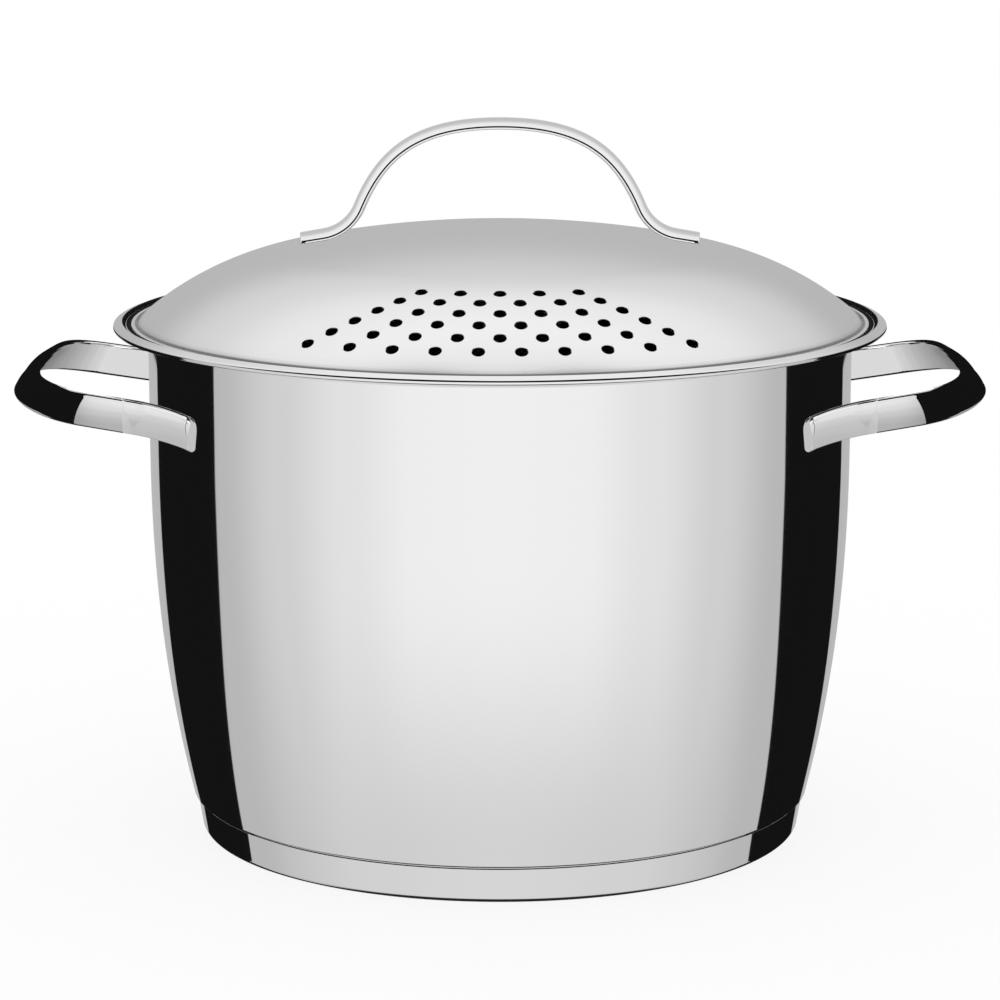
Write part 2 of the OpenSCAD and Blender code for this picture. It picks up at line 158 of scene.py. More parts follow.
# Insert
INSERT_SHEET = 0.5
INSERT_GAP = 2.2
COLLAR_Z = 150.0
COLLAR_BEND_Z = 160.0
INSERT_EDGE_R = 128.5
INSERT_BEAD = 0.5
WIRE_D = 4.0
WIRE_SPAN = 60.0
WIRE_TOP = 7.5
WIRE_FOOT = 14.0
WIRE_LEAN = 22.0
WIRE_BEND = 9.0
WIRE_KNEE = 8.0

# Facets of a turned piece, all the way round
ROUND_STEPS = 320

# Where the steel's colour follows the radius or the height, in millimetres: rings and bands of painted
# shade and painted highlight
PAINTED_RING_SPAN = (120.0, 130.0)
PAINTED_BAND_SPAN = (8.0, 16.0)

# Colour of the painted shade in gaps and creases, made to mirror nothing, and of the darkest steel that
# mirrors fully
PAINTED_SHADE_TONE = 0.02
STEEL_TONE = 0.35

# Brushed rings: how fast the marks change along a ring and, per metre, across it, and their relief
MARKS_ALONG = 3.0
MARKS_ACROSS = 2600.0
RELIEF = 0.00002


# Materials

def new_material(name):
    """A material with its nodes and links."""
    material = bpy.data.materials.new(name)
    material.use_nodes = True
    return material, material.node_tree.nodes, material.node_tree.links


def noise_of(nodes, links, scale, stretch):
    """A noise over the object's own coordinates, stretched along its axes."""
    coords = nodes.new("ShaderNodeTexCoord")
    mapping = nodes.new("ShaderNodeMapping")
    mapping.inputs["Scale"].default_value = stretch
    noise = nodes.new("ShaderNodeTexNoise")
    noise.inputs["Scale"].default_value = scale
    noise.inputs["Detail"].default_value = 3.0
    links.new(coords.outputs["Object"], mapping.inputs["Vector"])
    links.new(mapping.outputs["Vector"], noise.inputs["Vector"])
    return noise.outputs["Fac"]


def ranged(nodes, links, value, source, target):
    """Value, moved from the source range to the target range and held inside it."""
    spread = nodes.new("ShaderNodeMapRange")
    for name, limit in zip(("From Min", "From Max", "To Min", "To Max"), source + target):
        spread.inputs[name].default_value = limit
    links.new(value, spread.inputs["Value"])
    return spread.outputs["Result"]


def banded(nodes, links, value, span, stops):
    """A tone that follows value, in metres, by (millimetres, tone) stops within the span."""
    low, high = span
    share = ranged(nodes, links, value, (low / 1000.0, high / 1000.0), (0.0, 1.0))
    ramp = nodes.new("ShaderNodeValToRGB")
    while len(ramp.color_ramp.elements) < len(stops):
        ramp.color_ramp.elements.new(0.5)
    for element, (place, tone) in zip(ramp.color_ramp.elements, stops):
        element.position = (place - low) / (high - low)
        element.color = (tone, tone, tone, 1.0)
    links.new(share, ramp.inputs["Fac"])
    return ramp.outputs["Color"]


def vector_maths(nodes, links, operation, value, other=None):
    """A vector operation on a socket and, where given, on a second socket or constant vector."""
    node = nodes.new("ShaderNodeVectorMath")
    node.operation = operation
    links.new(value, node.inputs[0])
    if isinstance(other, tuple):
        node.inputs[1].default_value = other
    elif other is not None:
        links.new(other, node.inputs[1])
    return node


def round_place(nodes, links):
    """The object's own coordinates, the same ones laid flat, and their distance from the axis Z."""
    place = nodes.new("ShaderNodeTexCoord").outputs["Object"]
    flat = vector_maths(nodes, links, "MULTIPLY", place, (1.0, 1.0, 0.0)).outputs["Vector"]
    return place, flat, vector_maths(nodes, links, "LENGTH", flat).outputs["Value"]


def painted_shade_and_highlight(nodes, links, shader, rings, bands=None):
    """Painted shade and painted highlight: a colour in rings round the axis Z, by radius, and in bands up
    it, by height.
    """
    place, _, radius = round_place(nodes, links)
    colour = banded(nodes, links, radius, PAINTED_RING_SPAN, rings)
    if bands:
        split = nodes.new("ShaderNodeSeparateXYZ")
        links.new(place, split.inputs["Vector"])
        band = banded(nodes, links, split.outputs["Z"], PAINTED_BAND_SPAN, bands)
        colour = vector_maths(nodes, links, "MULTIPLY", colour, band).outputs["Vector"]
    links.new(colour, shader.inputs["Base Color"])
    # Where the painted shade is black, the steel is neither metal nor glossy, so it mirrors nothing
    for name, full in (("Metallic", 1.0), ("Specular IOR Level", 0.5)):
        share = ranged(nodes, links, colour, (PAINTED_SHADE_TONE, STEEL_TONE), (0.0, full))
        links.new(share, shader.inputs[name])


def steel(name, roughness, spread, grain, stretch=(1.0, 1.0, 1.0), colour=None, rings=None, bands=None):
    """A steel whose roughness varies a little along its polishing marks.

    It has either one colour or rings of painted shade and painted highlight, which may have bands of
    painted shade across them."""
    material, nodes, links = new_material(name)
    shader = nodes["Principled BSDF"]
    if rings:
        painted_shade_and_highlight(nodes, links, shader, rings, bands)
    else:
        shader.inputs["Base Color"].default_value = (colour, colour, colour, 1.0)
        shader.inputs["Metallic"].default_value = 1.0
    marks = noise_of(nodes, links, grain, stretch)
    links.new(ranged(nodes, links, marks, (0.0, 1.0), (roughness - spread, roughness + spread)),
              shader.inputs["Roughness"])
    return material


def ring_brushed(name, rings, roughness, spread, bump):
    """A satin steel brushed in rings round the axis Z, with rings of painted shade and painted highlight
    by radius.
    """
    material, nodes, links = new_material(name)
    shader = nodes["Principled BSDF"]
    painted_shade_and_highlight(nodes, links, shader, rings)
    _, flat, radius = round_place(nodes, links)
    along = vector_maths(nodes, links, "NORMALIZE", flat).outputs["Vector"]
    along = vector_maths(nodes, links, "MULTIPLY", along, (MARKS_ALONG, MARKS_ALONG, 0.0))
    across = nodes.new("ShaderNodeCombineXYZ")
    links.new(radius, across.inputs["Z"])
    across = vector_maths(nodes, links, "MULTIPLY", across.outputs["Vector"], (0.0, 0.0, MARKS_ACROSS))
    where = vector_maths(nodes, links, "ADD", along.outputs["Vector"], across.outputs["Vector"])
    marks = nodes.new("ShaderNodeTexNoise")
    marks.inputs["Scale"].default_value = 1.0
    marks.inputs["Detail"].default_value = 2.0
    links.new(where.outputs["Vector"], marks.inputs["Vector"])
    marks = marks.outputs["Fac"]
    links.new(ranged(nodes, links, marks, (0.0, 1.0), (roughness - spread, roughness + spread)),
              shader.inputs["Roughness"])
    relief = nodes.new("ShaderNodeBump")
    relief.inputs["Strength"].default_value = bump
    relief.inputs["Distance"].default_value = RELIEF
    links.new(marks, relief.inputs["Height"])
    links.new(relief.outputs["Normal"], shader.inputs["Normal"])
    return material


FINISH = {
    # polished_steel: painted shade as a black ring on the lip's inside, down to where the insert sits,
    # and a black band round the wall's foot in the groove over the base cup
    "polished_steel": steel("polished_steel", 0.035, 0.006, 260.0, (1.0, 1.0, 0.15), rings=[
        (120.0, 0.89), (128.4, 0.89), (128.5, 0.02), (129.4, 0.02), (129.55, 0.89)], bands=[
        (8.0, 1.0), (12.3, 1.0), (12.45, 0.02), (13.0, 0.02), (13.15, 1.0)]),
    "handle_steel": steel("handle_steel", 0.045, 0.01, 400.0, colour=0.89),
    # satin_steel: painted shade darkening the dome towards its edge and a dark ring in the crease between
    # dome and flange; a painted highlight on the flange
    "satin_steel": ring_brushed("satin_steel", [
        (120.0, 0.88), (122.6, 0.86), (123.7, 0.7), (124.2, 0.16), (124.9, 0.12), (125.3, 0.95)],
        0.2, 0.02, 0.15),
    # insert_steel: painted shade as a black ring on the rim between the lid's edge and the bead, a
    # painted highlight on the bead and painted shade at its outer edge
    "insert_steel": ring_brushed("insert_steel", [
        (120.0, 0.85), (126.2, 0.85), (126.4, 0.02), (128.0, 0.02), (128.15, 0.95), (128.45, 0.95),
        (128.6, 0.1)], 0.2, 0.03, 0.15),
    "core_aluminium": steel("core_aluminium", 0.4, 0.05, 900.0, colour=0.8),
}
SLOT_OF = {part["node"]: part["material_slot"] for part in frame["record"]["subparts"]}


# Meshes: lengths come in millimetres and are kept in metres

def make_piece(name, points, faces, node, body, sharp=38.0):
    """A smooth-shaded piece that replaces a CAD node; edges over the sharp angle stay sharp."""
    mesh = bpy.data.meshes.new(name)
    mesh.from_pydata([tuple(c / 1000.0 for c in p) for p in points], [], faces)
    mesh.validate()
    mesh.shade_smooth()
    mesh.set_sharp_from_angle(angle=math.radians(sharp))
    piece = bpy.data.objects.new(name, mesh)
    bpy.context.scene.collection.objects.link(piece)
    finish_piece(piece, node, body)
    return piece


def finish_piece(piece, node, body):
    """Give the piece its node's place, body and slot, with the slot's material."""
    piece.data.materials.clear()
    piece.data.materials.append(FINISH[SLOT_OF[node]])
    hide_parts(node)
    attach(piece, body)


def face_outwards(mesh):
    """Turn every face of a closed mesh to its outside."""
    work = bmesh.new()
    work.from_mesh(mesh)
    bmesh.ops.recalc_face_normals(work, faces=work.faces)
    work.to_mesh(mesh)
    work.free()


def apply_modifier(piece, name):
    """Make the named modifier's result the piece's own mesh."""
    bpy.context.view_layer.objects.active = piece
    with bpy.context.temp_override(object=piece, active_object=piece, selected_objects=[piece]):
        bpy.ops.object.modifier_apply(modifier=name)


def even_shading(piece):
    """Shade by face area, so that flats stay flat beside small rounds."""
    modifier = piece.modifiers.new("even", "WEIGHTED_NORMAL")
    modifier.keep_sharp = True
    modifier.weight = 100
    apply_modifier(piece, "even")


def revolve(name, profile, node, body):
    """A closed profile of (radius, height) turned round Z; ends on the axis become poles."""
    points, rings = [], []
    for r, z in profile:
        if r < 1e-6:
            rings.append([len(points)])
            points.append((0.0, 0.0, z))
        else:
            rings.append(list(range(len(points), len(points) + ROUND_STEPS)))
            turns = [2 * math.pi * i / ROUND_STEPS for i in range(ROUND_STEPS)]
            points += [(r * math.cos(turn), r * math.sin(turn), z) for turn in turns]
    faces = []
    count = len(rings)
    for k in range(count):
        a, b = rings[k], rings[(k + 1) % count]
        if len(a) == 1 and len(b) == 1:
            continue
        for i in range(ROUND_STEPS):
            j = (i + 1) % ROUND_STEPS
            if len(a) == 1:
                faces.append((a[0], b[j], b[i]))
            elif len(b) == 1:
                faces.append((a[i], a[j], b[0]))
            else:
                faces.append((a[i], a[j], b[j], b[i]))
    piece = make_piece(name, points, faces, node, body)
    even_shading(piece)
    return piece


def loft(name, rings, node, body, sharp=38.0):
    """A closed skin through rings that have as many points each."""
    n = len(rings[0])
    points = [tuple(p) for ring in rings for p in ring]
    faces = [(i * n + j, i * n + (j + 1) % n, (i + 1) * n + (j + 1) % n, (i + 1) * n + j)
             for i in range(len(rings) - 1) for j in range(n)]
    faces.append(tuple(reversed(range(n))))
    last = (len(rings) - 1) * n
    faces.append(tuple(range(last, last + n)))
    piece = make_piece(name, points, faces, node, body, sharp)
    mesh = piece.data
    face_outwards(mesh)
    mesh.shade_smooth()
    mesh.set_sharp_from_angle(angle=math.radians(sharp))
    even_shading(piece)
    return piece


def arc(centre, radius, start, end, steps=10):
    """Points of an arc from start to end, in degrees."""
    return [(centre[0] + radius * math.cos(math.radians(start + (end - start) * i / steps)),
             centre[1] + radius * math.sin(math.radians(start + (end - start) * i / steps)))
            for i in range(steps + 1)]


def wall_out(z):
    """The outer radius of the pot's wall, which draws in below DRAW_Z."""
    return WALL_R - DRAW * (max(0.0, DRAW_Z - z) / (DRAW_Z - CAP_H)) ** DRAW_POWER


def dome_drop(r, grow=0.0):
    """How far the dome, or a skin that lies grow outside it, lies below its apex at radius r."""
    if r <= (CROWN_R + grow) * math.sin(BLEND_A):
        return CROWN_R - math.sqrt((CROWN_R + grow) ** 2 - r * r)
    return (CROWN_R - (CROWN_R - SHOULDER_R) * math.cos(BLEND_A)
            - math.sqrt((SHOULDER_R + grow) ** 2 - (r - SHOULDER_C) ** 2))


APEX_Z = LID_TOP_Z + dome_drop(DOME_R)


def dome_z(r):
    """The height of the dome's outside at radius r."""
    return APEX_Z - dome_drop(r)


def dome_slope(r):
    """How far the dome leans there, in radians from level."""
    if r <= BLEND_R:
        return math.asin(r / CROWN_R)
    return math.asin((r - SHOULDER_C) / SHOULDER_R)


# Pot

def pot_body():
    """Wall, floor sheet, flange and rolled lip in one turned skin."""
    shoulder_z = CAP_H + GROOVE_H
    floor_under = POT_SHEET + CORE_H
    nest_r = wall_out(shoulder_z) - CAP_STEP - POT_SHEET - CAP_FIT
    nest_corner = CAP_H - floor_under
    corner = (nest_r - nest_corner, CAP_H)
    bend = (WALL_R + MOUTH_BEND, SEAT_Z - POT_SHEET - MOUTH_BEND)
    edge = SHOULDER_EDGE_R
    heights = [shoulder_z + edge + (DRAW_Z - shoulder_z - edge) * i / 60 for i in range(61)]
    lip_low = SEAT_Z - POT_SHEET
    lip = ([(LIP_R - LIP_HEM, lip_low)]
           + arc((LIP_R - LIP_LOW_ROUND, lip_low + LIP_LOW_ROUND), LIP_LOW_ROUND, -90, 0, 6)[1:]
           + arc((LIP_R - LIP_OUT_ROUND, LIP_TOP - LIP_OUT_DROP), LIP_OUT_ROUND, 0, LIP_BAND, 12)
           + arc((LIP_IN_R + LIP_IN_SET, LIP_TOP - LIP_IN_DROP), LIP_IN_ROUND, LIP_BAND, 180, 8)
           + [(LIP_IN_R, SEAT_Z + 0.5), (LIP_IN_R - 0.5, SEAT_Z)])
    outside = ([(0.0, floor_under)] + arc(corner, nest_corner, -90, 0)
               + [(nest_r, shoulder_z), (wall_out(shoulder_z) - edge, shoulder_z)]
               + arc((wall_out(shoulder_z + edge) - edge, shoulder_z + edge), edge, -90, 0, 6)[1:-1]
               + [(wall_out(z), z) for z in heights]
               + [(WALL_R, z) for z in WALL_RINGS]
               + arc(bend, MOUTH_BEND, 180, 90))
    inside = (arc(bend, MOUTH_BEND + POT_SHEET, 90, 180)
              + [(WALL_R - POT_SHEET, z) for z in reversed(WALL_RINGS)]
              + [(wall_out(z) - POT_SHEET, z) for z in reversed(heights)]
              + [(nest_r - POT_SHEET, shoulder_z)]
              + arc(corner, nest_corner - POT_SHEET, 0, -90)
              + [(0.0, floor_under + POT_SHEET)])
    piece = revolve("pot_body", outside + lip + inside, "pot_shell", "pot")
    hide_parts("pot_floor")


def capsule():
    """The steel cup that covers the base."""
    rim = wall_out(CAP_H + GROOVE_H) - CAP_STEP
    foot = rim - CAP_TAPER
    corner = (foot - CAP_CORNER, CAP_CORNER)
    profile = ([(0.0, 0.0)] + arc(corner, CAP_CORNER, -90, 0)
               + [(rim - CAP_FIT, CAP_H - CAP_EDGE_R)]
               + arc((rim - CAP_EDGE_R, CAP_H - CAP_EDGE_R), CAP_EDGE_R, 0, 90, 6)[1:]
               + [(rim - POT_SHEET, CAP_H)]
               + arc(corner, CAP_CORNER - POT_SHEET, 0, -90)
               + [(0.0, POT_SHEET)])
    revolve("base_capsule", profile, "base_cap", "pot")


# Side handles

def cubic(a, b, c, d, t):
    """A point at share t of the Bezier curve from a to d."""
    return (1 - t) ** 3 * a + 3 * (1 - t) ** 2 * t * b + 3 * (1 - t) * t * t * c + t ** 3 * d


def heading(angle):
    """The level unit vector turned angle degrees from the axis X towards Y."""
    return np.array([math.cos(math.radians(angle)), math.sin(math.radians(angle)), 0.0])


def strap_path():
    """The right handle's middle line, from the far foot to the near one."""
    rise = math.tan(math.radians(LEG_RISE))
    foot_x = STRAP_R * heading(FOOT_ANGLE)[0]
    bow_x = (WALL_R + HANDLE_REACH - STRAP_ROUND
             - (HANDLE_W / 2 - STRAP_ROUND) * math.sin(math.radians(BOW_TILT)))
    start = (WALL_R + LEG_OUT) * heading(LEG_ANGLE)
    lean = heading(-LEG_LEAN)
    slope = lean + np.array([0.0, 0.0, rise * lean[0]])
    lift = FOOT_ANGLE - FOOT_TURN

    def on_leg(p):
        return np.array([p[0], p[1], HANDLE_Z + rise * (p[0] - foot_x)])

    foot = [STRAP_R * heading(a) for a in np.linspace(FOOT_ANGLE, lift, 13)]
    bend = [cubic(foot[-1], foot[-1] + FOOT_ARM * heading(lift - 90), start - LEG_ARM * lean, start, t)
            for t in np.linspace(0, 1, 25)[:-1]]
    leg_end = on_leg(start + (bow_x - start[0]) * LEG_SHARE * lean)
    middle = np.array([bow_x, 0.0, HANDLE_Z + BOW_RISE])
    bow = [cubic(leg_end, leg_end + BOW_ARM * slope,
                 middle + np.array([0.0, BOW_SHARE * leg_end[1], BOW_HUMP]), middle, t)
           for t in np.linspace(0, 1, 45)]
    straight = [on_leg(start) + (leg_end - on_leg(start)) * t for t in np.linspace(0, 1, 9)[:-1]]
    half = [on_leg(p) for p in foot[:-1]] + [on_leg(p) for p in bend] + straight + bow
    return half + [p * np.array([1.0, -1.0, 1.0]) for p in reversed(half[:-1])]


def corner_cut(d, r):
    """How much a corner of radius r takes off at distance d from the end."""
    return 0.0 if d >= r else r - math.sqrt(max(0.0, r * r - (r - d) ** 2))


def ease(t):
    """A smooth step from 0 to 1."""
    t = min(1.0, max(0.0, t))
    return t * t * (3 - 2 * t)


def direction_at(path, i):
    """The path's direction at its point i, from its neighbours."""
    along = path[min(i + 1, len(path) - 1)] - path[max(i - 1, 0)]
    return along / np.linalg.norm(along)


def run_lengths(path):
    """The way along the path to each of its points."""
    return np.concatenate([[0.0], np.cumsum([np.linalg.norm(b - a) for a, b in zip(path, path[1:])])])


def strap_section(low, top):
    """A strap on edge: a crowned outer face, a flat inner face and fully rounded edges."""
    middle = (low + top) / 2
    half = (top - low) / 2 - STRAP_ROUND
    ring = [(STRAP_ROUND + HANDLE_CROWN * (1 - q * q), middle + half * q) for q in np.linspace(-1, 1, 17)]
    ring += arc((0.0, middle + half), STRAP_ROUND, 0, 180, 14)[1:]
    ring += [(-STRAP_ROUND, middle + half * q) for q in (0.5, 0.0, -0.5)]
    ring += arc((0.0, middle - half), STRAP_ROUND, 180, 360, 14)[:-1]
    return ring


def side_strap(name, node, mirror):
    """A side handle; mirror is 1 at the right and -1 at the left."""
    path = strap_path()
    runs = run_lengths(path)
    total = runs[-1]
    rings = []
    for i, p in enumerate(path):
        along = direction_at(path, i)
        up = np.array([0.0, 0.0, 1.0]) - along * along[2]
        up /= np.linalg.norm(up)
        out = np.cross(up, along)
        d = min(runs[i], total - runs[i])
        tilt = math.radians(BOW_TILT * ease((2 * d / total - TILT_FROM) / (TILT_TO - TILT_FROM)))
        w = up * math.cos(tilt) - out * math.sin(tilt)
        n = out * math.cos(tilt) + up * math.sin(tilt)
        top = HANDLE_W / 2 - corner_cut(d, FOOT_CORNER_TOP)
        low = corner_cut(d, FOOT_CORNER_LOW) - HANDLE_W / 2
        ring = [p + n * a + w * b for a, b in strap_section(low, top)]
        rings.append([(mirror * q[0], q[1], q[2]) for q in ring])
    return loft(name, rings, node, "pot")


# Lid

def drain_places():
    """Radius, angle and slope of each drain hole: staggered rows round the lid's axis."""
    places = []
    first = dome_slope(DOME_R - DRAIN_INSET)
    for row in range(DRAIN_ROWS):
        slope = first + row * DRAIN_ROW_PITCH / SHOULDER_R
        r = SHOULDER_C + SHOULDER_R * math.sin(slope)
        pitch = DRAIN_PITCH + DRAIN_PITCH_GAIN * row
        count = DRAIN_FIRST_N + row
        for i in range(count):
            places.append((r, math.asin((i - (count - 1) / 2) * pitch / r) - math.pi / 2, slope))
    return places


def lid_dome():
    """The domed sheet with its flat flange and the drain holes."""
    edge = LID_SHEET / 2
    under = LID_TOP_Z - LID_SHEET
    blend_in = (CROWN_R - LID_SHEET) * math.sin(BLEND_A)
    shoulder_z = APEX_Z - CROWN_R + (CROWN_R - SHOULDER_R) * math.cos(BLEND_A)
    in_edge = SHOULDER_C + math.sqrt((SHOULDER_R - LID_SHEET) ** 2 - (under - shoulder_z) ** 2)
    outer = [(BLEND_R * i / 24, dome_z(BLEND_R * i / 24)) for i in range(24)]
    outer += [(r, dome_z(r)) for r in np.linspace(BLEND_R, DOME_R - LID_FILLET, 42)]
    rim = [(DOME_R + LID_FILLET, LID_TOP_Z)]
    rim += arc((DOME_R + LID_FLANGE - edge, LID_TOP_Z - edge), edge, 90, -90, 8)
    inner = [(in_edge - 0.01, under)]
    inner += [(r, APEX_Z - dome_drop(r, -LID_SHEET)) for r in np.linspace(in_edge - 0.3, blend_in, 40)]
    inner += [(blend_in * i / 20, APEX_Z - dome_drop(blend_in * i / 20, -LID_SHEET))
              for i in range(19, -1, -1)]
    piece = revolve("lid_dome", outer + rim + inner, "lid_shell", "lid")
    pierce(piece)


def drain_punches():
    """One mesh of all the drain punches, each with a flare that bevels the hole's mouth."""
    points, faces = [], []
    around = 40
    section = [(-1.6, 0.0), (-DRAIN_FLARE, 0.0), (0.02, DRAIN_FLARE + 0.02), (1.0, 1.0)]
    for r, angle, slope in drain_places():
        out = Vector((math.cos(angle) * math.sin(slope), math.sin(angle) * math.sin(slope),
                      math.cos(slope)))
        side = Vector((-math.sin(angle), math.cos(angle), 0.0))
        down = out.cross(side)
        at = Vector((r * math.cos(angle), r * math.sin(angle), dome_z(r)))
        base = len(points)
        for h, wide in section:
            for k in range(around):
                a = 2 * math.pi * k / around
                p = at + out * h + (side * math.cos(a) + down * math.sin(a)) * (DRAIN_D / 2 + wide)
                points.append(tuple(p / 1000.0))
        for i in range(len(section) - 1):
            for k in range(around):
                a, b = base + i * around + k, base + i * around + (k + 1) % around
                faces.append((a, b, b + around, a + around))
        faces.append(tuple(base + k for k in reversed(range(around))))
        faces.append(tuple(base + (len(section) - 1) * around + k for k in range(around)))
    mesh = bpy.data.meshes.new("punches")
    mesh.from_pydata(points, [], faces)
    face_outwards(mesh)
    return mesh


def pierce(piece):
    """Cut the drain holes and shade the dome evenly."""
    punches = bpy.data.objects.new("punches", drain_punches())
    bpy.context.scene.collection.objects.link(punches)
    cut = piece.modifiers.new("cut", "BOOLEAN")
    cut.operation = "DIFFERENCE"
    cut.solver = "EXACT"
    cut.object = punches
    apply_modifier(piece, "cut")
    bpy.data.objects.remove(punches)
    shade_dome(piece.data)


def shade_dome(mesh):
    """Give the dome's faces the true normals of its two arcs; hole walls keep their own."""
    mesh.shade_smooth()
    where = np.zeros(len(mesh.vertices) * 3, np.float32)
    mesh.vertices.foreach_get("co", where)
    where = where.reshape(-1, 3).astype(float) * 1000.0
    corner = np.zeros(len(mesh.loops), np.int32)
    mesh.loops.foreach_get("vertex_index", corner)
    face_n = np.zeros(len(mesh.polygons) * 3, np.float32)
    mesh.polygons.foreach_get("normal", face_n)
    face_n = face_n.reshape(-1, 3).astype(float)
    corners = np.zeros(len(mesh.polygons), np.int32)
    mesh.polygons.foreach_get("loop_total", corners)
    flat = face_n[np.repeat(np.arange(len(mesh.polygons)), corners)]
    at = where[corner]
    r = np.hypot(at[:, 0], at[:, 1])
    sine = np.where(r <= BLEND_R, r / CROWN_R, (r - SHOULDER_C) / SHOULDER_R)
    sine = np.clip(sine, 0.0, 0.999)
    safe = np.maximum(r, 1e-9)
    ideal = np.stack([at[:, 0] / safe * sine, at[:, 1] / safe * sine, np.sqrt(1.0 - sine ** 2)], 1)
    match = (ideal * flat).sum(1)
    near = 0.985
    dome = at[:, 2] > LID_TOP_Z + 0.02
    result = flat.copy()
    result[(match > near) & dome] = ideal[(match > near) & dome]
    result[(match < -near) & dome] = -ideal[(match < -near) & dome]
    mesh.normals_split_custom_set([tuple(v) for v in result])


# Lid handle

def rounded(a, p, b, r, steps):
    """Points that round the corner p of a line from a to b with radius r."""
    u = (a - p) / np.linalg.norm(a - p)
    v = (b - p) / np.linalg.norm(b - p)
    half = math.acos(float(np.dot(u, v))) / 2
    middle = p + (u + v) / np.linalg.norm(u + v) * r / math.sin(half)
    start = p + u * r / math.tan(half)
    turn = math.pi - 2 * half
    side = -1 if u[0] * v[1] - u[1] * v[0] > 0 else 1
    first = math.atan2(start[1] - middle[1], start[0] - middle[0])
    return [middle + r * np.array([math.cos(first + side * turn * i / steps),
                                   math.sin(first + side * turn * i / steps)])
            for i in range(steps + 1)]


def bar_section(half_w, crown):
    """An oval bar's outline: a crowned outer face, broad rounds below it and a tight lower edge."""
    small = GRIP_EDGE_ROUND
    # The broad round carries on from the crown's slope at its edge
    lean = math.atan(2 * crown / (half_w - 0.55))
    big = (GRIP_EDGE - small) / math.cos(lean)
    span = half_w - big * (1 - math.sin(lean))
    turns = [lean + (math.pi / 2 - lean) * i / 8 for i in range(1, 9)]
    low = small - GRIP_EDGE / 2
    corner = [math.pi / 2 * i / 5 for i in range(1, 6)]
    side = [(half_w - big + big * math.sin(a), low + big * math.cos(a)) for a in turns]
    side += [(half_w - small + small * math.cos(a), low - small * math.sin(a)) for a in corner]
    ring = [(w * span, GRIP_EDGE / 2 + crown * (1 - w * w)) for w in np.linspace(1, -1, 17)]
    ring += [(-w, h) for w, h in side]
    ring += [(w * (half_w - small), -GRIP_EDGE / 2 - GRIP_BELLY * (1 - w * w))
             for w in np.linspace(-1, 1, 13)[1:-1]]
    return ring + list(reversed(side))


def arch_path():
    """The arch's middle line in the plane of X and Z, from the right foot to the left one."""
    seat = WELD_GAP + GRIP_BELLY + GRIP_EDGE / 2
    line_z = APEX_Z + GRIP_H - GRIP_CROWN - GRIP_EDGE / 2
    tip = np.array([GRIP_SPAN / 2, dome_z(GRIP_SPAN / 2) + seat])
    knee = np.array([KNEE_X, dome_z(KNEE_X) + seat])
    slope = math.radians(GRIP_SLOPE)
    leg_up = np.array([-math.cos(slope), math.sin(slope)])
    to_knee = (knee - tip) / np.linalg.norm(knee - tip)
    turn = math.acos(float(np.dot(to_knee, leg_up)))
    start = knee + leg_up * (KNEE_BEND * math.tan(turn / 2) + GRIP_LEG)
    # The first points follow the rounded corner of the foot's end
    half = [tip + to_knee * d for d in (0.0, 0.1, 0.3, 0.6, 0.9, 1.3, 1.8, GRIP_CORNER, 5.0)]
    half += rounded(tip, knee, start, KNEE_BEND, 16)
    half += [cubic(start, start + leg_up * ARCH_SIDE, np.array([ARCH_TOP, line_z]),
                   np.array([0.0, line_z]), t) for t in np.linspace(0, 1, 49)]
    return half + [np.array([-p[0], p[1]]) for p in reversed(half[:-1])]


def lid_arch():
    """The lid's handle: an oval bar, bent to an arch with a foot at each end."""
    path = arch_path()
    runs = run_lengths(path)
    rings = []
    for i, p in enumerate(path):
        along = direction_at(path, i)
        out = np.array([along[1], -along[0]])
        d = min(runs[i], runs[-1] - runs[i])
        half_w = GRIP_W / 2 - corner_cut(d, GRIP_CORNER)
        crown = (TIP_CROWN + (LEG_CROWN - TIP_CROWN) * ease(d / TIP_RUN)
                 + (GRIP_CROWN - LEG_CROWN) * ease((d - runs[-1] / 2) / CROWN_RUN + 1.0))
        rings.append([(p[0] + out[0] * h, w, p[1] + out[1] * h) for w, h in bar_section(half_w, crown)])
    return loft("lid_arch", rings, "lid_handle", "lid")


# Insert

def insert_r(z):
    """The outer radius of the insert's wall."""
    return wall_out(z) - POT_SHEET - INSERT_GAP


def collar():
    """The insert's plain collar with its flange and the bead at the flange's edge."""
    radius = MOUTH_BEND + POT_SHEET
    out_r = insert_r(COLLAR_Z)
    in_r = out_r - INSERT_SHEET
    bend = (out_r + radius, SEAT_Z - radius)
    profile = ([(out_r, COLLAR_Z), (out_r, COLLAR_BEND_Z)]
               + arc(bend, radius, 180, 90, 12)
               + arc((INSERT_EDGE_R - INSERT_BEAD, SEAT_Z + INSERT_BEAD), INSERT_BEAD, -90, 160, 14)
               + [(INSERT_EDGE_R - 2.2 * INSERT_BEAD, SEAT_Z + INSERT_SHEET)]
               + arc(bend, radius + INSERT_SHEET, 90, 180, 12)
               + [(in_r, COLLAR_BEND_Z), (in_r, COLLAR_Z)])
    revolve("insert_rim", profile, "insert_collar", "insert")


